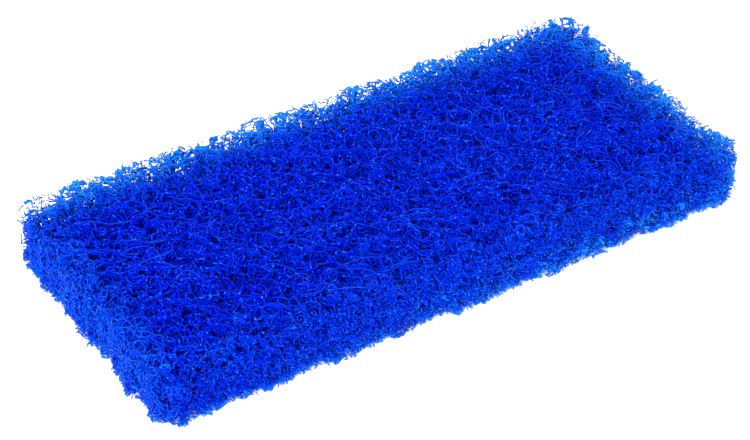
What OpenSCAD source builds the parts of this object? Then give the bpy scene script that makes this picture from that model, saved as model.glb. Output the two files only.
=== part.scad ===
// Open fibre filter pad: a cut block of curled-fibre web for a pond or aquarium
// filter. The web is laid up as five plies, which the binder holds together face
// to face. Millimetres, +Z up, origin at the middle of the face it rests on.

/* [Pad] */
// Length of the pad, along X
pad_length = 254; // [120:1:400]
// Width of the pad, along Y
pad_width = 117; // [60:1:200]

/* [Plies] */
// Height of the top and of the bottom face ply
face_ply_h = 4.6; // [3.5:0.1:8]
// Height of each of the three inner plies
inner_ply_h = 5.4; // [3:0.1:12]

/* [Cut edges] */
// Radius of the four upright corners
corner_r = 7; // [5:0.5:15]
// Radius of the edge round the top face, where the cutting die presses in
top_edge_r = 3; // [1:0.25:3.25]
// Radius of the edge round the bottom face
bottom_edge_r = 1.5; // [0.5:0.25:3.25]

/* [Hidden] */
$fn = 64;
web_blue = [0.01, 0.16, 0.83];
deep_web_blue = [0.01, 0.10, 0.62];

inner_plies = 3;
// How far a cutting shape reaches past the face it cuts
past = 1;
// Where the straight sides end and the upright corners begin
straight_x = pad_length / 2 - corner_r;
straight_y = pad_width / 2 - corner_r;

// Height of the underside of an inner ply, counted from the lowest one at 0
function inner_z(n) = face_ply_h + n * inner_ply_h;

// Section of a ply's edge, from the corner's axis outwards. Its lower or upper
// outer corner is rounded where the radius is above 0.
module edge_section(h, low_r, high_r) {
    difference() {
        square([corner_r, h]);
        if (low_r > 0)
            round_cut(low_r);
        if (high_r > 0)
            translate([0, h])
                mirror([0, 1])
                    round_cut(high_r);
    }
}

// What a round of radius r takes off the section's lower outer corner
module round_cut(r) {
    difference() {
        translate([corner_r - r, -past])
            square([r + past, r + past]);
        translate([corner_r - r, r])
            circle(r);
    }
}

// One quarter of the pad's upright corner
module corner_post(h, low_r, high_r) {
    translate([straight_x, straight_y])
        rotate_extrude(angle = 90)
            edge_section(h, low_r, high_r);
}

// A straight run of edge along Y, on the +X side
module edge_bar(reach, half_run, h, low_r, high_r) {
    translate([reach, half_run, 0])
        rotate([90, 0, 0])
            linear_extrude(2 * half_run)
                edge_section(h, low_r, high_r);
}

// A ply that fills the pad's outline, its cut edges rounded below and above
module ply(z, h, low_r = 0, high_r = 0) {
    translate([0, 0, z]) {
        translate([-straight_x, -straight_y, 0])
            cube([2 * straight_x, 2 * straight_y, h]);
        for (side = [0, 1]) {
            mirror([side, 0, 0])
                edge_bar(straight_x, straight_y, h, low_r, high_r);
            mirror([0, side, 0])
                rotate([0, 0, 90])
                    edge_bar(straight_y, straight_x, h, low_r, high_r);
            for (end = [0, 1])
                mirror([side, 0, 0])
                    mirror([0, end, 0])
                        corner_post(h, low_r, high_r);
        }
    }
}

module bottom_ply() {
    color(web_blue)
        ply(0, face_ply_h, low_r = bottom_edge_r);
}

module lower_ply() {
    color(deep_web_blue)
        ply(inner_z(0), inner_ply_h);
}

module middle_ply() {
    color(deep_web_blue)
        ply(inner_z(1), inner_ply_h);
}

module upper_ply() {
    color(deep_web_blue)
        ply(inner_z(2), inner_ply_h);
}

module top_ply() {
    color(web_blue)
        ply(inner_z(inner_plies), face_ply_h, high_r = top_edge_r);
}

top_ply();
upper_ply();
middle_ply();
lower_ply();
bottom_ply();
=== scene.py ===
# %% [markdown]
# # Open fibre filter pad
#
# A block of lofty, resin-bonded web: curled plastic fibres laid in plies, mostly flat, with
# gaps between them that water is drawn through. Almost everything that is seen is a single
# fibre or the dark between two of them, so a smooth block with a rough finish can't look
# right, from the side least of all. The web is therefore made fibre by fibre.

# %% Load the measured frame
import math

import bpy
import numpy as np
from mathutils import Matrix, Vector


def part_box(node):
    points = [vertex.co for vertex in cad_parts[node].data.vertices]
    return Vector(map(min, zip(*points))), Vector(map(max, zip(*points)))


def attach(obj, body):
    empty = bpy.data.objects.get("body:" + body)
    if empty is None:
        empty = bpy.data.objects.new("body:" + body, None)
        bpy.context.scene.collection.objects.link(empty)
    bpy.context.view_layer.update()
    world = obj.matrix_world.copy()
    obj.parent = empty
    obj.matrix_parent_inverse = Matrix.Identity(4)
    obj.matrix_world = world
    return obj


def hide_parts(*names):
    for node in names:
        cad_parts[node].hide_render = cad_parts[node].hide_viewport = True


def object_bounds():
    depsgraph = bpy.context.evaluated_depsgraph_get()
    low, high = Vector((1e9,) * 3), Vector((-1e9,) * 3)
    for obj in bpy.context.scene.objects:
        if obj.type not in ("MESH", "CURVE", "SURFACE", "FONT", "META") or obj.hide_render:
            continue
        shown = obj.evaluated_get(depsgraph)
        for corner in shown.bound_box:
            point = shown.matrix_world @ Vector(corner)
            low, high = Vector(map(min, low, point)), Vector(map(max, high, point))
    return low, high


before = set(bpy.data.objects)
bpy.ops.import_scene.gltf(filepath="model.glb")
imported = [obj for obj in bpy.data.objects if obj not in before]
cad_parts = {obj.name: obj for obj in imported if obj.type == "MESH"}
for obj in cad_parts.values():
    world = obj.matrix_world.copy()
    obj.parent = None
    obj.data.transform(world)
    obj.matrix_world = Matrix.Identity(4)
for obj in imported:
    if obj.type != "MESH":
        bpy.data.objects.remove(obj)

cad_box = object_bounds()
MM = 0.001
PLY_NODES = ["bottom_ply", "lower_ply", "middle_ply", "upper_ply", "top_ply"]
pad_low = np.array(cad_box[0]) / MM
pad_high = np.array(cad_box[1]) / MM
half_x, half_y = pad_high[0], pad_high[1]
pad_h = pad_high[2] - pad_low[2]
# Nominal heights of the six surfaces between, under and over the plies
ply_z = [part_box(name)[0][2] / MM for name in PLY_NODES] + [pad_high[2]]
print("pad, mm:", 2 * half_x, 2 * half_y, pad_h, "ply surfaces:", np.round(ply_z, 2))

# %% [markdown]
# ## Camera and light
#
# The camera stands in front of the left end and looks down on the pad with a long lens, so
# the top, the long front side and the left end all show. A sun lamp would cast one hard
# shadow under every fibre, so the light is a white studio: a bright dome for the soft fill,
# a large lamp at the front left for shape, and a small one, high behind, that gives the
# wet-looking glints on the resin.

# %% Camera
VIEW_AZIMUTH, VIEW_ELEVATION = math.radians(-32.1), math.radians(36.96)
VIEW_DISTANCE = 0.810
LENS_MM = 100.6
AIM_HEIGHT = 0.012
# How far the middle of the view lies left of and below the pad's own middle
AIM_LEFT, AIM_DOWN = 0.0036, 0.0070

scene = bpy.context.scene
back = Vector((
    math.sin(VIEW_AZIMUTH) * math.cos(VIEW_ELEVATION),
    -math.cos(VIEW_AZIMUTH) * math.cos(VIEW_ELEVATION),
    math.sin(VIEW_ELEVATION),
))
right = Vector((math.cos(VIEW_AZIMUTH), math.sin(VIEW_AZIMUTH), 0))
up = back.cross(right)
aim = Vector((0, 0, AIM_HEIGHT)) - right * AIM_LEFT - up * AIM_DOWN
camera = bpy.data.objects.new("camera", bpy.data.cameras.new("camera"))
scene.collection.objects.link(camera)
camera.data.lens = LENS_MM
camera.location = aim + back * VIEW_DISTANCE
camera.rotation_mode = "QUATERNION"
camera.rotation_quaternion = (-back).to_track_quat("-Z", "Y")
camera.data.dof.use_dof = False
scene.camera = camera
print("camera at", np.round(camera.location, 3))

# %% Light
DOME_STRENGTH = 0.65

world = bpy.data.worlds.new("studio")
scene.world = world
world.use_nodes = True
dome = world.node_tree.nodes["Background"]
dome.inputs["Color"].default_value = (1, 1, 1, 1)
dome.inputs["Strength"].default_value = DOME_STRENGTH
scene.view_settings.view_transform = "Standard"


def lamp(name, place, size, power):
    """A square lamp that faces the pad, in metres and watts."""
    data = bpy.data.lights.new(name, "AREA")
    data.shape, data.size, data.energy = "SQUARE", size, power
    made = bpy.data.objects.new(name, data)
    scene.collection.objects.link(made)
    made.location = place
    made.rotation_mode = "QUATERNION"
    made.rotation_quaternion = (-Vector(place)).to_track_quat("-Z", "Y")
    print(f"{name}: {power} W, {size} m square, at {place}")


lamp("key_lamp", place=(-0.75, -0.70, 0.65), size=0.50, power=18)
lamp("glint_lamp", place=(-0.10, 0.65, 1.10), size=0.15, power=5)


# %% [markdown]
# ## Node helpers
#
# Materials are easier to read as sums than as boxes and wires. `Value` wraps one output of a
# node, and adding or multiplying two of them adds the Math node that does it.

# %% Node helpers
class Value:
    """One socket of a material's node tree, usable in ordinary sums."""

    def __init__(self, tree, socket):
        self.tree, self.socket = tree, socket

    def maths(self, operation, *values):
        node = self.tree.nodes.new("ShaderNodeMath")
        node.operation = operation
        for place, value in zip(node.inputs, values):
            if isinstance(value, Value):
                self.tree.links.new(value.socket, place)
            else:
                place.default_value = value
        return Value(self.tree, node.outputs[0])

    def __add__(self, other):
        return self.maths("ADD", self, other)

    def __radd__(self, other):
        return self.maths("ADD", other, self)

    def __sub__(self, other):
        return self.maths("SUBTRACT", self, other)

    def __rsub__(self, other):
        return self.maths("SUBTRACT", other, self)

    def __mul__(self, other):
        return self.maths("MULTIPLY", self, other)

    def __rmul__(self, other):
        return self.maths("MULTIPLY", other, self)

    def __abs__(self):
        return self.maths("ABSOLUTE", self)

    def at_least(self, other):
        return self.maths("MAXIMUM", self, other)

    def clipped(self):
        return self.maths("MINIMUM", self.at_least(0.0), 1.0)


class Finish:
    """A new material with one Principled shader, and a short way to add nodes to it."""

    def __init__(self, name, **constants):
        self.material = bpy.data.materials.new(name)
        self.material.use_nodes = True
        self.tree = self.material.node_tree
        self.shader = self.tree.nodes["Principled BSDF"]
        for socket, value in constants.items():
            self.shader.inputs[socket.replace("_", " ")].default_value = value

    def node(self, kind, settings=None, out=0, **inputs):
        """Adds a node, sets it up, fills or links its inputs, and returns its output."""
        made = self.tree.nodes.new(kind)
        for name, value in (settings or {}).items():
            setattr(made, name, value)
        for name, value in inputs.items():
            # Inputs that share a name, as a Mix node's do, are given by number, such as i6.
            numbered = name[0] == "i" and name[1:].isdigit()
            place = made.inputs[int(name[1:]) if numbered else name.replace("_", " ")]
            if isinstance(value, Value):
                self.tree.links.new(value.socket, place)
            else:
                place.default_value = value
        return Value(self.tree, made.outputs[out])

    def split(self, vector):
        """The x, the y and the z of a vector."""
        x = self.node("ShaderNodeSeparateXYZ", Vector=vector)
        return [Value(self.tree, socket) for socket in x.socket.node.outputs]

    def mix(self, share, low, high):
        """low where share is 0, high where it is 1. Both are colours."""
        return self.node("ShaderNodeMix", {"data_type": "RGBA"}, out=2,
                         Factor=share, i6=low, i7=high)

    def feed(self, socket, value):
        self.tree.links.new(value.socket, self.shader.inputs[socket])


# %% [markdown]
# ## Floor
#
# A pale sheet under the pad. Lamps strong enough to make it white would bleach the pad, so
# it has a weak glow of its own. A glow under the pad would shine up through the web as
# bright specks, so it fades to nothing a little way in from the pad's edges.

# %% Floor
FLOOR_WIDE = 6  # m
GLOW_STRENGTH = 0.3
GLOW_FADE = 3  # mm, how far in under the pad the glow ends, and how wide it fades

bpy.ops.object.select_all(action="DESELECT")
bpy.ops.mesh.primitive_plane_add(size=FLOOR_WIDE, location=(0, 0, 0))
floor = bpy.context.object
floor.name = "studio_floor"
floor_finish = Finish("pale_floor", Roughness=0.9, Emission_Strength=GLOW_STRENGTH)
ground = floor_finish.node("ShaderNodeTexCoord", out=3)
cloudy = floor_finish.node("ShaderNodeTexNoise", Vector=ground, Scale=3.0, Detail=2.0)
floor_finish.feed("Base Color", floor_finish.mix(
    cloudy, (0.9, 0.9, 0.9, 1), (0.94, 0.94, 0.94, 1)))
ground_x, ground_y, _ = floor_finish.split(ground)
beyond = abs(ground_x) - (half_x - GLOW_FADE) * MM
beyond = beyond.at_least(abs(ground_y) - (half_y - GLOW_FADE) * MM)
floor_finish.feed("Emission Color", floor_finish.mix(
    (beyond * (1 / (GLOW_FADE * MM))).clipped(), (0, 0, 0, 1), (1, 1, 1, 1)))
floor.data.materials.append(floor_finish.material)
print("floor:", FLOOR_WIDE, "m wide,", len(floor_finish.tree.nodes), "nodes in its finish")

# %% [markdown]
# ## The outline and the faces
#
# The pad is cut from a wide roll with a steel die. The cut isn't clean: it wanders with the
# web's own lumps. The die also presses the web down as it goes through, so the top face
# rolls over at the cut, and the bottom face a little too. A displaced surface could show
# that, but there is no surface here to displace. So the shapes are written as plain
# functions of a place on the pad, in millimetres, and every fibre is laid between them.

# %% Outline and faces
CORNER_R = 7.0  # the upright corners, as on the plain plies
PROUD, END_PROUD = 1.1, 0.6  # how far the web stands out past them, and how much more at the ends
WANDER, WANDER_LENGTH = 0.75, 24  # the long swings of the cut
BITE, BITE_LENGTH = 0.45, 9  # the short bites in it
TOP_ROLL, TOP_ROLL_WIDE = 1.3, 4.5
BOTTOM_ROLL, BOTTOM_ROLL_WIDE = 0.15, 4.0
ROLL_MOST = 1.15  # the roll goes on a little, outside the cut
TOP_DROP, BOTTOM_LIFT = 0.1, 0.45  # room for the fibres' own thickness
TOP_SWELL, TOP_SWELL_LENGTH = 0.35, 30
PLY_SWELL, PLY_SWELL_LENGTH = 0.7, 26


def waves(x, y, length, count=10, seed=0):
    """Smooth random hills of about unit height, whose crests lie about length apart."""
    draw = np.random.default_rng(seed)
    angle = draw.uniform(0, 2 * np.pi, count)
    pace = 2 * np.pi / length * draw.uniform(0.6, 1.5, count)
    phase = draw.uniform(0, 2 * np.pi, count)
    total = np.zeros(np.shape(x))
    for a, k, p in zip(angle, pace, phase):
        total += np.sin(k * (np.cos(a) * x + np.sin(a) * y) + p)
    return total / math.sqrt(count / 2)


def inside_by(x, y):
    """How far a place lies inside the cut outline. Outside, it is below 0."""
    over_x = np.abs(x) - (half_x - CORNER_R)
    over_y = np.abs(y) - (half_y - CORNER_R)
    corner = np.hypot(np.maximum(over_x, 0), np.maximum(over_y, 0))
    plain = CORNER_R - corner - np.minimum(np.maximum(over_x, over_y), 0)
    proud = plain + PROUD + END_PROUD * (over_x > over_y)
    return (proud - WANDER * waves(x, y, WANDER_LENGTH, seed=1)
            - BITE * waves(x, y, BITE_LENGTH, seed=2))


def surface_z(level, x, y):
    """Height of one of the six ply surfaces, 0 the bottom face and 5 the top face."""
    near = inside_by(x, y)
    press = np.clip(1 - near / TOP_ROLL_WIDE, 0, ROLL_MOST) ** 2
    lift = np.clip(1 - near / BOTTOM_ROLL_WIDE, 0, ROLL_MOST) ** 2
    swell = TOP_SWELL * waves(x, y, TOP_SWELL_LENGTH, seed=3)
    top = pad_h - TOP_DROP - TOP_ROLL * press + swell
    bottom = BOTTOM_LIFT + BOTTOM_ROLL * lift
    surface = bottom + ply_z[level] / pad_h * (top - bottom)
    if 0 < level < len(PLY_NODES):
        surface = surface + PLY_SWELL * waves(x, y, PLY_SWELL_LENGTH, seed=10 + level)
    return surface


places = np.linspace(-100, 100, 5)
print("outline wander at the front, mm:", np.round(inside_by(places, np.full(5, -half_y)), 2))
print("height of the top face, mm:", np.round(surface_z(5, places, np.zeros(5)), 2))

# %% [markdown]
# ## One fibre
#
# A fibre comes off the line crimped like a spring that was pulled straight and let go, so
# its path bends all the time, in a direction that itself keeps turning. That is what is
# walked here: a step forward, a bend, a roll of the bending direction. A physics engine
# could drop real springs on each other, but the pad has thousands of them. Walked, they all
# take each step together, which is quick in numpy.

# %% Walking the fibres
SURGE_KEPT, SURGE_NEW, SURGE_SHARE = 0.85, 0.53, 0.45  # how the curl tightens and eases
ROLL_JITTER = 0.32  # radians to a step of 1 mm
RIM_FULL, RIM_WIDE = 1.3, 7.0  # the web is tighter curled for RIM_WIDE mm in from the cut
TURN_SHARPNESS = 0.97  # 1 would fold a path back like a zigzag


def unit(v):
    return v / (np.linalg.norm(v, axis=-1, keepdims=True) + 1e-12)


def any_way(count, climb, draw):
    """Starting directions all round, climbing or falling a little."""
    turn = draw.uniform(0, 2 * np.pi, count)
    return unit(np.stack([np.cos(turn), np.sin(turn), draw.normal(0, climb, count)], 1))


def walk(starts, along, steps, step, bend, roll, flat, draw, rim_curl=0.0):
    """Paths of many fibres, as points (fibre, step, xyz).

    bend is one over the curl's radius and roll the turn of its direction to a mm. flat is
    the share of a climb that is left after a step. rim_curl is how much tighter the fibres
    curl at the cut.
    """
    n = len(starts)
    side = unit(np.cross(along, draw.normal(size=(n, 3))))
    place, surge = starts.copy(), draw.normal(size=n)
    path = np.empty((n, steps, 3))
    for k in range(steps):
        path[:, k] = place
        place = place + along * step
        surge = SURGE_KEPT * surge + SURGE_NEW * draw.normal(size=n)
        curl, level_off = bend * (1 + SURGE_SHARE * surge), flat
        if rim_curl:
            rim = np.clip(RIM_FULL - inside_by(place[:, 0], place[:, 1]) / RIM_WIDE, 0, 1)
            curl = curl * (1 + rim_curl * rim)
            # Near the cut the fibres aren't pressed flat, but run every way.
            level_off = flat + (1 - flat) * rim
        along = along + side * (curl * step)[:, None]
        along[:, 2] *= level_off
        along = unit(along)
        turn = (roll * step + draw.normal(0, ROLL_JITTER, n) * math.sqrt(step))[:, None]
        side = side * np.cos(turn) + np.cross(along, side) * np.sin(turn)
        side = unit(side - along * (side * along).sum(1)[:, None])
    return path


def folded(s):
    """s folded back and forth between 0 and 1, with rounded turns."""
    c = TURN_SHARPNESS
    return 0.5 - np.arcsin(c * np.cos(np.pi * s)) / (2 * np.arcsin(c))


print("a path that climbs is folded back, such as 0, 0.5, 1, 1.5:",
      np.round(folded(np.array([0, 0.5, 1, 1.5])), 2))

# %% [markdown]
# ## From paths to fibres
#
# A curve with a round bevel would turn a path into a tube, and hair would draw thousands at
# once. But hair is no mesh, and a bevelled curve can't carry a colour of its own for each
# fibre or share out a texture fairly. So the tubes are built as a mesh: a ring of three
# corners at each step, quads from ring to ring, and a triangle to close each end. That is
# six triangles a step, the least that still looks round with smooth shading.
#
# The fibre's own shade and its paleness are kept on the mesh for the finish to read. Each
# step also gets its own strip of the piece's UV map, a row of strips to a line, so that a
# texture baked for the piece has room for every fibre.

# %% Numbering the fibres
SIDES = 3
MAP_ROWS = 256
# The first corner of a ring is found from one slanting direction, which few fibres follow.
ASLANT = (0.31, 0.17, 0.93)


def stretches(keep, least=3):
    """Numbers the runs of kept points along each fibre, and drops runs under least points."""
    starts = keep & ~np.pad(keep, ((0, 0), (1, 0)))[:, :-1]
    run = np.cumsum(starts.ravel()).reshape(keep.shape) * keep
    length = np.bincount(run.ravel())
    length[0] = 0
    return run * (length[run] >= least)


# %% Rings and faces
def ring_corners(p, radius, first, last):
    """The corners of the ring round each point, square to the path there. Metres."""
    ahead = np.where(last[:, None], 2 * p - np.roll(p, 1, 0), np.roll(p, -1, 0))
    behind = np.where(first[:, None], 2 * p - np.roll(p, -1, 0), np.roll(p, 1, 0))
    along = unit(ahead - behind)
    out = unit(np.cross(along, ASLANT))
    over = np.cross(along, out)
    corners = []
    for k in range(SIDES):
        a = 2 * math.pi * k / SIDES
        corners.append(p + radius[:, None] * (math.cos(a) * out + math.sin(a) * over))
    return np.stack(corners, 1).reshape(-1, 3) * MM


def tube_faces(joined, first, last):
    """Quads from each joined ring to the next, and triangles over the first and last rings."""
    faces = []
    for a in range(SIDES):
        b = (a + 1) % SIDES
        here, following = joined * SIDES, (joined + 1) * SIDES
        faces.append(np.stack([here + a, here + b, following + b, following + a], 1))
    caps = np.concatenate([
        np.stack([first * SIDES + 2, first * SIDES + 1, first * SIDES], 1),
        np.stack([last * SIDES, last * SIDES + 1, last * SIDES + 2], 1),
    ])
    return np.stack(faces, 1).reshape(-1, 4), caps


def strips(count, joined, ends):
    """UV corners: quads take their ring's strip of the map, caps half of their ring's."""
    per_row = math.ceil(count / MAP_ROWS)
    ring = np.arange(count)
    low = np.stack([(ring % per_row) / per_row, (ring // per_row) / MAP_ROWS], 1)
    wide, tall = 1 / per_row, 1 / MAP_ROWS
    quads = np.repeat(low[joined], SIDES, 0)[:, None] + np.array(
        [[0, 0], [0, tall], [wide, tall], [wide, 0]])[None]
    caps = low[ends][:, None] + np.array([[0, 0], [wide, 0], [0, tall]])[None]
    return np.concatenate([quads.reshape(-1, 2), caps.reshape(-1, 2)])


# %% Building tubes
def tubes(name, points, run, radius, shade, pale):
    """A mesh of tubes through points, one tube for each stretch of equal numbers in run."""
    order = np.flatnonzero(run)
    same = run[order][:-1] == run[order][1:]
    is_first, is_last = np.r_[True, ~same], np.r_[~same, True]
    joined, first, last = (np.flatnonzero(mask) for mask in (same, is_first, is_last))
    corners = ring_corners(points[order], radius[order], is_first, is_last)
    quads, caps = tube_faces(joined, first, last)

    mesh = bpy.data.meshes.new(name)
    mesh.vertices.add(len(corners))
    mesh.vertices.foreach_set("co", corners.ravel().astype(np.float32))
    loops = np.concatenate([quads.ravel(), caps.ravel()]).astype(np.int32)
    sizes = np.r_[np.full(len(quads), 4), np.full(len(caps), 3)].astype(np.int32)
    mesh.loops.add(len(loops))
    mesh.loops.foreach_set("vertex_index", loops)
    mesh.polygons.add(len(sizes))
    mesh.polygons.foreach_set("loop_start", np.r_[0, np.cumsum(sizes)[:-1]].astype(np.int32))
    mesh.polygons.foreach_set("use_smooth", np.ones(len(sizes), bool))
    mesh.update(calc_edges=True)
    for label, values in (("shade", shade[order]), ("pale", pale[order])):
        data = mesh.attributes.new(label, "FLOAT", "POINT").data
        data.foreach_set("value", np.repeat(values, SIDES).astype(np.float32))
    uv = strips(len(order), joined, np.r_[first, last])
    layer = mesh.uv_layers.new(name="OFBake")
    layer.uv.foreach_set("vector", uv.ravel().astype(np.float32))

    made = bpy.data.objects.new(name, mesh)
    scene.collection.objects.link(made)
    triangles = 2 * len(quads) + len(caps)
    print(f"{name}: {len(first)} fibres, {len(joined)} steps, {triangles} triangles")
    return made


# %% [markdown]
# ## Where the fibres pale: painted light
#
# Where the web is thin, light gets through it and the blue turns pale: along the upper rim,
# most at the back and at the right end, and at the upright corners. Along the lower lip, on
# the cut faces, most at the left end, and low on the front side, the fibres are paler where
# light from the floor and the lamps falls on them. All of it is painted light: fibres that let
# light through could show that by themselves, but they also sparkle white. So it is a number
# for each point of a fibre, worked out from its place, which the finish mixes in as a pale
# blue. It falls off softly and comes in lumps, so that it doesn't run along the rim as a line.

# %% Paleness
# How much painted light pales the upper rim along the front, the back, the left end and the right
# end
FRONT_PALE, BACK_PALE, LEFT_PALE, RIGHT_PALE = 0.08, 1.0, 0.18, 0.95
SIDE_REACH, END_REACH = 11, 9.5  # how far in from the sides and the ends it goes
# Painted light at the four upright corners, most at the right end
LEFT_CORNERS, RIGHT_CORNERS, CORNER_REACH = 0.2, 0.8, 6  # the four upright corners
LUMP, LUMP_LENGTH = 0.22, 11
CUT_DEPTH, DEEPER = 4, 6  # how far down the rim pales at the cut, and how much more further in
# Painted light along the lower lip, from the floor, and on the cut faces, most at the left end,
# from the lamps
LIP_PALE, LIP_HEIGHT, LIP_REACH = 0.6, 3, 4
FACE_PALE, FACE_REACH = 0.06, 6
LEFT_FACE_PALE, RIGHT_FACE_PALE, END_FACE_REACH = 0.12, 0.04, 4
# Painted light low on the front side, from the floor, in patches
FRONT_FROM, FRONT_FULL = -90, 60  # from where along X the low front side pales, to its palest
PATCH, PATCH_LENGTH = 0.5, 14


def rise(value, low, high):
    """0 below low, 1 above high, straight between."""
    return np.clip((value - low) / (high - low), 0, 1)


def bell(distance, wide):
    """1 at no distance, falling off smoothly over wide."""
    return np.exp(-(np.maximum(distance, 0) / wide) ** 2)


def painted_light(x, y, z, near):
    """Painted light: how pale the fibres are, 0 to 1, at places that lie near inside the cut."""
    from_end, from_side, from_top = half_x - np.abs(x), half_y - np.abs(y), pad_h - z
    lumps = np.clip(1.05 + LUMP * waves(x, y, LUMP_LENGTH, seed=60), 0.5, 1.3)
    # On the cut face itself only the top few millimetres pale, further in it goes deeper.
    upper = np.clip(1.2 - from_top / (CUT_DEPTH + DEEPER * rise(near, 0.5, 5)), 0, 1)
    rim = upper * lumps * np.maximum(
        np.where(x > 0, RIGHT_PALE, LEFT_PALE) * bell(from_end, END_REACH),
        np.where(y > 0, BACK_PALE, FRONT_PALE) * bell(from_side, SIDE_REACH))
    corners = np.where(x > 0, RIGHT_CORNERS, LEFT_CORNERS) * lumps
    upright = corners * bell(from_end, CORNER_REACH) * bell(from_side, CORNER_REACH)
    lip = LIP_PALE * bell(z, LIP_HEIGHT) * bell(near, LIP_REACH)
    end_face = np.where(x > 0, RIGHT_FACE_PALE, LEFT_FACE_PALE) * bell(from_end, END_FACE_REACH)
    face = FACE_PALE * bell(near, FACE_REACH) + end_face
    return np.maximum(np.maximum(rim, upright), np.maximum(lip, face))


def front_painted_light(x, y, z, near):
    """Painted light from the floor: how much paler single fibres are low on the front side, in
    patches, most at the right.
    """
    patches = np.clip(0.75 + PATCH * waves(x, z, PATCH_LENGTH, seed=61), 0, 1.4)
    low_down = rise(x, FRONT_FROM, FRONT_FULL) * (y < 0) * bell(z - 3, 8)
    return low_down * bell(near - 1, 5) * patches


for side, at in (("front", -half_y), ("back", half_y)):
    value = painted_light(np.zeros(1), np.full(1, at), np.full(1, pad_h), np.zeros(1))
    print(f"paleness at the middle of the upper {side} rim: {value[0]:.2f}")

# %% [markdown]
# ## The fibre finish
#
# Dyed plastic under a thin coat of clear resin. The blue is deep and nearly free of red. A
# single colour would make the web one flat mass, so the depth of the blue changes in four
# ways: from fibre to fibre, in soft clouds over the pad, a little from end to end, and along
# each fibre, where the resin lies unevenly. The change from end to end is painted light and
# shade: darker at the left end, which the lamp at the front left lights most, and lighter at
# the right. The painted light of the pale rims is mixed in over that, with small pale specks
# as painted glints. The resin also roughens the gloss and gives each fibre a fine uneven
# surface.

# %% Fibre finish
CLOUD_SCALE, BEAD_SCALE = 45.0, 900.0  # clouds of some 20 mm, beads of about 1 mm
OWN_SHARE, CLOUD_SHARE, BEAD_SHARE, PAINTED_END_LIGHT = 0.5, 0.6, 0.3, 0.16  # in the depth of the blue
DARKER = 0.29  # and taken off again
# From which bead noise painted glints begin, and how fast they come in
GLINT_FROM, GLINT_SHARPNESS = 0.6, 9.0
# The pale blue of the painted light and the painted glints
PAINTED_LIGHT_BLUE = (0.010, 0.27, 1.0, 1)


def fibre_finish(name, deep, bright, pale):
    finish = Finish(name, Specular_Tint=(0.0, 0.22, 1, 1), Specular_IOR_Level=0.25)
    place = finish.node("ShaderNodeTexCoord", out=3)
    shade = finish.node("ShaderNodeAttribute", {"attribute_name": "shade"}, out=2)
    painted_light_share = finish.node("ShaderNodeAttribute", {"attribute_name": "pale"}, out=2)
    cloud = finish.node("ShaderNodeTexNoise", Vector=place, Scale=CLOUD_SCALE, Detail=2.0)
    bead = finish.node("ShaderNodeTexNoise", Vector=place, Scale=BEAD_SCALE, Detail=2.0)
    # Painted light and shade from end to end: darker at the left end, a little lighter at the
    # right
    along = finish.split(place)[0] * (PAINTED_END_LIGHT / (half_x * MM))
    depth = shade * OWN_SHARE + cloud * CLOUD_SHARE + bead * BEAD_SHARE + along - DARKER
    colour = finish.mix(depth.clipped(), deep, bright)
    # Pale specks where the bead noise peaks are painted glints on the resin.
    painted_glints = ((bead - GLINT_FROM) * GLINT_SHARPNESS).clipped()
    # Painted light from the mesh, lumped by the beads, plus the painted glints, as a share of the
    # pale blue
    paler = (painted_light_share * (0.4 + 0.9 * bead) + painted_glints * 0.8).clipped()
    finish.feed("Base Color", finish.mix(paler, colour, pale))
    finish.feed("Roughness", 0.28 + 0.3 * bead)
    finish.feed("Normal", finish.node("ShaderNodeBump", Height=bead, Strength=0.4,
                                      Distance=0.0001))
    print(f"{name}: {len(finish.tree.nodes)} nodes")
    return finish.material


web_finish = fibre_finish("web", (0.0, 0.003, 0.62, 1), (0.0, 0.028, 0.76, 1), PAINTED_LIGHT_BLUE)
# The heart's copy has a darker deep blue and a lighter bright blue: painted light and shade for
# the inside of the web, seen only through its gaps.
heart_light_and_shade_finish = fibre_finish("heart_web_painted_light_and_shade", (0.0, 0.003, 0.58, 1), (0.0, 0.022, 0.80, 1), PAINTED_LIGHT_BLUE)

# %% [markdown]
# ## Laying the plies
#
# The real web is laid up ply on ply, and its resin is sprayed on after. Here each ply is a
# layer of walked fibres, pressed between the ply's two surfaces and cut off at the outline.
# Filled alike all through, the pad would have several times the triangles that it can. So
# the top ply is full, the others are full near the cut, where they are seen from the side,
# and further in the bottom face is more open and the hidden heart is thinned out, with
# thicker fibres that still close the view.

# %% One piece after another
MOST_TRIANGLES = 195_000


def add_pieces(node, kind, points, run, radius, shade, pale):
    """Makes one piece for the ply, or as many alike as it takes to keep each light."""
    numbers = np.unique(run[run > 0])
    parts = math.ceil(2 * SIDES * np.count_nonzero(run) / MOST_TRIANGLES)
    for part, chosen in enumerate(np.array_split(numbers, parts)):
        name = f"{node}_{kind}" + (f"_{part + 1}" if parts > 1 else "")
        mine = run * ((run >= chosen[0]) & (run <= chosen[-1]))
        piece = tubes(name, points, mine, radius, shade, pale)
        piece.data.materials.append(heart_light_and_shade_finish if kind == "filling" else web_finish)
        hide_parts(node)
        "web_face" if node in ("top_ply", "bottom_ply") else "web_inner"
        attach(piece, "root")


# %% Where fibres start and gather
MARGIN = 10.0  # fibres also start this far outside, and are cut off where they come in


def evenly(count, draw):
    """Random places over the pad and its margin, one to each cell of a grid."""
    wide, tall = 2 * (half_x + MARGIN), 2 * (half_y + MARGIN)
    across = round(math.sqrt(count * wide / tall))
    down = round(count / across)
    i, j = np.divmod(np.arange(across * down), down)
    x = (i + draw.uniform(size=len(i))) / across - 0.5
    y = (j + draw.uniform(size=len(j))) / down - 0.5
    return np.stack([x * wide, y * tall], 1)


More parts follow.
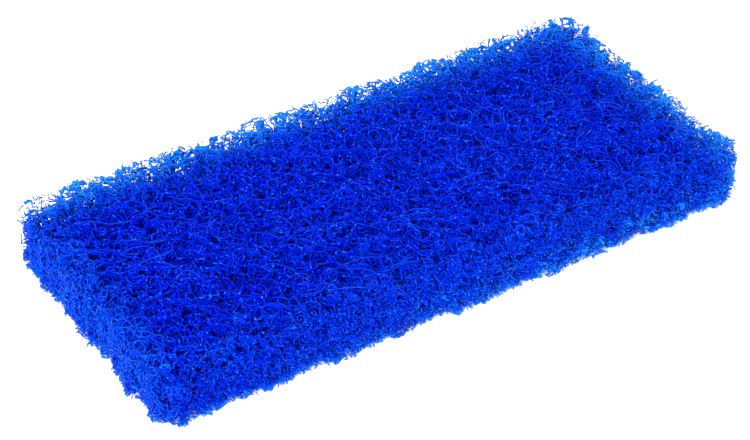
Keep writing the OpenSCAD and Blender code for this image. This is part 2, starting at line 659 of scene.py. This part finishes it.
def gathered(x, y, reach, length, seed):
    """Draws fibres together on the crests of small random hills, which opens pores between."""
    e = 0.1
    slope_x = (waves(x + e, y, length, seed=seed) - waves(x - e, y, length, seed=seed)) / (2 * e)
    slope_y = (waves(x, y + e, length, seed=seed) - waves(x, y - e, length, seed=seed)) / (2 * e)
    return x + reach * slope_x, y + reach * slope_y


# %% Paths of one layer
CURL_SPREAD, ROLL_SPREAD, FIRST_CLIMB = 0.5, 0.35, 0.4
FLATTENED, FLATTENED_OVER = 0.96, 1.2  # the share of a climb that is left after so many mm
RIM_CURL = 0.9
PORE_PULL, PORE_LENGTH = 0.6, 7.0


def layer_paths(level, kind, step, length, fill, curl, draw):
    """Paths of a layer's fibres, all over the ply and its margin, between its surfaces."""
    h = ply_z[level + 1] - ply_z[level]
    area = (2 * half_x + 2 * MARGIN) * (2 * half_y + 2 * MARGIN)
    places = evenly(int(fill * h * area / length), draw)
    count = len(places)
    starts = np.column_stack([places, draw.uniform(0, 2 * h, count)])
    bend = curl * np.exp(draw.normal(0, CURL_SPREAD, count))
    roll = draw.normal(0, ROLL_SPREAD, count)
    path = walk(starts, any_way(count, FIRST_CLIMB, draw), int(length / step), step, bend, roll,
                FLATTENED ** (step / FLATTENED_OVER), draw, RIM_CURL)
    x, y = path[..., 0], path[..., 1]
    if kind == "curls":
        x, y = gathered(x, y, PORE_PULL, PORE_LENGTH, 40 + level)
        path[..., 0], path[..., 1] = x, y
    low, high = surface_z(level, x, y), surface_z(level + 1, x, y)
    path[..., 2] = low + folded(path[..., 2] / h) * (high - low)
    return path


# %% Cutting and thickening a layer
OVERHANG, OVERHANG_SPREAD, OVERHANG_MOST = -0.2, 0.4, 0.4  # how far fibres pass the cut
COARSE_STEP = 1.5  # from here up, two steps are already a stretch worth keeping
THICK_SPREAD = 0.22
KNOTS = 0.16  # how unevenly the resin thickens a fibre along its length
DARK_LEANING, LIGHTEST = 1.5, 1.3  # most fibres are dark, and a few are much lighter
# Painted light is stronger at the cut tips
TIP, TIP_PALER = 1.5, 0.3  # mm of a cut fibre that is paler, and by how much
# Painted light low on the front side, stronger on the lighter fibres
FRONT_PALER = 0.85
RESIN_FATTENS = 0.2


def lay(level, kind, step, length, fill, chance_at, thick, curl, seed):
    """Fills one ply with fibres. fill is in mm of fibre to a cubic mm, where chance_at is 1."""
    draw = np.random.default_rng(seed)
    path = layer_paths(level, kind, step, length, fill, curl, draw)
    count, steps = path.shape[:2]
    x, y, z = path[..., 0], path[..., 1], path[..., 2]
    near = inside_by(x, y)
    overhang = np.clip(draw.normal(OVERHANG, OVERHANG_SPREAD, count), -2, OVERHANG_MOST)[:, None]
    keep = (near > -overhang) & (draw.uniform(size=(count, 1)) < chance_at(near))
    run = stretches(keep, 3 if step < COARSE_STEP else 2)
    knots = 1 + KNOTS * draw.normal(size=(count, steps))
    own_thick = thick * np.exp(draw.normal(0, THICK_SPREAD, count))
    radius = (own_thick / 2)[:, None] * np.clip(knots, 0.75, 1.6)
    shade = (draw.uniform(size=count) ** DARK_LEANING * LIGHTEST)[:, None].repeat(steps, 1)
    # Painted light: stronger at a cut tip, and low on the front side stronger on the lighter
    # fibres
    tip = np.clip(1 - (near + overhang) / TIP, 0, 1)
    pale = painted_light(x, y, z, near) * (1 + TIP_PALER * tip)
    pale = np.clip(pale + FRONT_PALER * front_painted_light(x, y, z, near) * shade, 0, 1)
    # The resin runs to the thin rim and fattens the fibres there.
    radius = radius * (1 + RESIN_FATTENS * pale)
    return path.reshape(-1, 3), run.ravel(), radius.ravel(), shade.ravel(), pale.ravel()


# %% Where each layer is laid
SPARSER, SPARSE_REACH = 0.4, 5
RIM_DENSE, RIM_FADE = 6, 3


def open_rim(near):
    """Everywhere, but sparser towards the cut."""
    return 1 - SPARSER * bell(near - 1, SPARSE_REACH)


def rim_only(near):
    """Full for some way in from the cut, and gone a little further in."""
    return np.clip(1 - (near - RIM_DENSE) / RIM_FADE, 0, 1)


def heart_only(near):
    return 1 - rim_only(near)


# %% Laying the plies
# ply, kind, step, length, fill, where, thickness, curl
LAYERS = [
    ("top_ply", "curls", 0.85, 45, 0.62, open_rim, 0.62, 0.52),
    ("upper_ply", "curls", 0.8, 25, 0.68, rim_only, 0.56, 0.55),
    ("upper_ply", "filling", 1.6, 80, 0.48, heart_only, 0.65, 0.30),
    ("middle_ply", "curls", 0.8, 25, 0.78, rim_only, 0.58, 0.55),
    ("middle_ply", "filling", 2.6, 90, 0.36, heart_only, 1.1, 0.15),
    ("lower_ply", "curls", 0.8, 25, 0.88, rim_only, 0.60, 0.55),
    ("lower_ply", "filling", 2.6, 90, 0.32, heart_only, 1.1, 0.15),
    ("bottom_ply", "curls", 0.8, 25, 1.00, rim_only, 0.62, 0.55),
    ("bottom_ply", "face_curls", 1.3, 60, 0.36, heart_only, 0.52, 0.40),
]
for number, (node, kind, *layer) in enumerate(LAYERS):
    laid = lay(PLY_NODES.index(node), kind, *layer, seed=100 + number)
    add_pieces(node, kind, *laid)

# %% [markdown]
# ## Long strands
#
# A few fibres came out of the crimping less curled and lie over the top face in easy bends.
# They could be drawn one by one as curves, but walked like the others, with less curl, they
# lie as loosely as the rest. They are the highest fibres, so they catch the most light, and
# they are also painted lighter, with only the lighter shades and a least share of the pale blue.

# %% Long strands
STRANDS = 70
STRAND_STEPS, STRAND_STEP = 22, 1.0
STRAND_THICK, STRAND_THICK_SPREAD = 0.5, 0.15
STRAND_BEND, STRAND_ROLL, STRAND_FLAT = 0.20, 0.2, 0.5
STRAND_PAINTED_LIGHT = 0.14
SHORTEST_STRAND = 9  # steps
EDGE_GAP = 4  # mm, shared by both sides
PROUD_OF_TOP = 0.15
DIP, DIP_WAVE, DIP_PACE = 0.5, 0.45, 0.35  # how a strand dives into the web and comes up


def lay_strands(seed):
    draw = np.random.default_rng(seed)
    room = (2 * half_x - EDGE_GAP, 2 * half_y - EDGE_GAP)
    places = draw.uniform(-0.5, 0.5, (STRANDS, 2)) * room
    starts = np.column_stack([places, np.zeros(STRANDS)])
    bend = STRAND_BEND * np.exp(draw.normal(0, CURL_SPREAD, STRANDS))
    path = walk(starts, any_way(STRANDS, 0.0, draw), STRAND_STEPS, STRAND_STEP, bend,
                draw.normal(0, STRAND_ROLL, STRANDS), STRAND_FLAT, draw)
    x, y = path[..., 0], path[..., 1]
    near = inside_by(x, y)
    number = np.arange(STRAND_STEPS)
    wave = np.sin(draw.uniform(0, 6.3, (STRANDS, 1)) + DIP_PACE * number)
    path[..., 2] = surface_z(5, x, y) + PROUD_OF_TOP - (DIP + DIP_WAVE * wave)
    kept = draw.integers(SHORTEST_STRAND, STRAND_STEPS + 1, STRANDS)
    run = stretches((number < kept[:, None]) & (near > 0.3))
    radius = STRAND_THICK / 2 * np.exp(draw.normal(0, STRAND_THICK_SPREAD, STRANDS))
    # Only the lighter shades and at least a share of the pale blue: painted light, for the light
    # the topmost fibres catch
    shade = draw.uniform(0.5, 1.3, STRANDS)
    pale = np.maximum(STRAND_PAINTED_LIGHT, painted_light(x, y, path[..., 2], near))
    return (path.reshape(-1, 3), run.ravel(), radius.repeat(STRAND_STEPS),
            shade.repeat(STRAND_STEPS), pale.ravel())


add_pieces("top_ply", "long_strands", *lay_strands(400))

# %% [markdown]
# ## The cut ends
#
# Where the die went through, every fibre that it met was sheared, and its end stands out of
# the cut as a short bristle. The fibres laid so far are cut off at the outline, which gives
# some such ends, but a real web is denser there, so short ones are added all round. The left
# end is crushed, and its bristle is dragged down. Everywhere else it stands out every way.

# %% Places on the outline
def round_the_outline(count, draw):
    """Random places on the pad's plain outline, with the way outwards at each."""
    long_run, short_run = 2 * (half_x - CORNER_R), 2 * (half_y - CORNER_R)
    bend_run = math.pi / 2 * CORNER_R
    side = draw.choice(4, count, p=np.array([long_run, short_run, long_run, short_run])
                       / (2 * (long_run + short_run)))
    is_long = side % 2 == 0
    whole = np.where(is_long, long_run, short_run)
    # Each side also takes half of the corner at both its ends.
    t = draw.uniform(-0.5, 0.5, count) * (1 + bend_run / 2 / whole)
    straight = np.clip(t, -0.5, 0.5)
    turn = (t - straight) * whole / CORNER_R
    # Worked out for the front side, which faces -Y, then turned to the side it is on.
    out = np.stack([np.sin(turn), -np.cos(turn)], 1)
    depth = np.where(is_long, half_y, half_x) - CORNER_R
    place = np.stack([straight * whole, -depth], 1) + CORNER_R * out
    for quarter in range(1, 4):
        on = side == quarter
        for v in (place, out):
            for _ in range(quarter):
                v[on] = np.stack([-v[on][:, 1], v[on][:, 0]], 1)
    return place, out


# %% Roots of the bristle
END_BRISTLE, SIDE_BRISTLE = 0.62, 0.50  # to a square mm
LOWEST_MORE, LOWEST_DOWN = 1.5, 1.4  # the lowest ply has more, and more of them low down
ROOT_SHALLOW, ROOT_DEEP = 0.3, 4.0  # how far in from the cut they start


def bristle_roots(level, draw):
    """Where a ply's cut ends start, a little way in, and the way outwards at each."""
    h = ply_z[level + 1] - ply_z[level]
    lowest = level == 0
    count = int(END_BRISTLE * (LOWEST_MORE if lowest else 1) * 4 * (half_x + half_y) * h)
    place, out = round_the_outline(count, draw)
    wanted = SIDE_BRISTLE + (END_BRISTLE - SIDE_BRISTLE) * np.abs(out[:, 0])
    if lowest:
        wanted[:] = END_BRISTLE
    here = draw.uniform(size=count) < wanted / END_BRISTLE
    place, out = place[here], out[here]
    count = len(place)
    depth = draw.uniform(ROOT_SHALLOW, ROOT_DEEP, count)
    near = inside_by(place[:, 0], place[:, 1])
    place = place + out * (near - depth)[:, None]
    low, high = surface_z(level, *place.T), surface_z(level + 1, *place.T)
    share = draw.uniform(0.02, 0.98, count) ** (LOWEST_DOWN if lowest else 1)
    return np.column_stack([place, low + share * (high - low)]), out


# %% Cut ends
BRISTLE_STEPS, BRISTLE_STEP, SHORTEST_BRISTLE = 5, 0.7, 3
OUTWARD, OUTWARD_LOST = 0.6, 0.5  # how strongly they point outwards, and what combing takes off
DROOP, COMBED_DROOP = 0.1, 0.7
LEAN_SPREAD = 0.4
BRISTLE_BEND, BRISTLE_ROLL = 0.4, 0.3
PAST_CUT, PAST_TOP, ABOVE_FLOOR = 0.5, 0.2, 0.3  # the room that they keep to
UPPER_THICK, LOWER_THICK, BRISTLE_THICK_SPREAD = 0.46, 0.54, 0.2
# Painted light, stronger at the tips, and low on the front side on the lighter ends
TIP_PALENESS, FRONT_BRISTLE_PALER = 0.6, 0.9


def lay_bristle(level, seed):
    """The short cut ends that stand out all round one ply."""
    draw = np.random.default_rng(seed)
    starts, out = bristle_roots(level, draw)
    count = len(starts)
    # 1 at the left end, where the ends are combed down, and 0 where they stand straight out
    comb = np.abs(out[:, 0]) * (out[:, 0] < 0)
    outward = out * (OUTWARD - OUTWARD_LOST * comb)[:, None]
    lean = np.column_stack([outward, -DROOP - COMBED_DROOP * comb])
    along = unit(lean + LEAN_SPREAD * draw.normal(size=(count, 3)))
    bend = BRISTLE_BEND * np.exp(draw.normal(0, CURL_SPREAD, count))
    roll = draw.normal(0, BRISTLE_ROLL, count)
    path = walk(starts, along, BRISTLE_STEPS, BRISTLE_STEP, bend, roll, 1.0, draw)
    x, y, z = path[..., 0], path[..., 1], path[..., 2]
    near = inside_by(x, y)
    kept = draw.integers(SHORTEST_BRISTLE, BRISTLE_STEPS + 1, count)[:, None]
    number = np.arange(BRISTLE_STEPS)
    room = (near > -PAST_CUT) & (z > ABOVE_FLOOR) & (z < pad_h + PAST_TOP)
    run = stretches((number < kept) & room)
    thick = UPPER_THICK if level > 2 else LOWER_THICK
    radius = thick / 2 * np.exp(draw.normal(0, BRISTLE_THICK_SPREAD, count))
    shade = draw.uniform(size=count)
    tip = np.clip((number + 1) / kept, 0, 1)
    # Painted light, stronger towards the tips, and low on the front side on the lighter ends
    pale = painted_light(x, y, z, near) * (0.8 + TIP_PALENESS * tip)
    pale = pale + FRONT_BRISTLE_PALER * front_painted_light(x, y, z, near) * shade[:, None]
    pale = np.clip(pale, 0, 1)
    return (path.reshape(-1, 3), run.ravel(), radius.repeat(BRISTLE_STEPS),
            shade.repeat(BRISTLE_STEPS), pale.ravel())


for level, node in enumerate(PLY_NODES):
    add_pieces(node, "cut_ends", *lay_bristle(level, 300 + level))

# %% [markdown]
# ## Sizes
#
# The size that was measured, the CAD model's box, is printed. The visual model has to
# stay the size that was measured.

# %% Sizes
print("CAD box", [list(np.round(c, 4)) for c in cad_box])
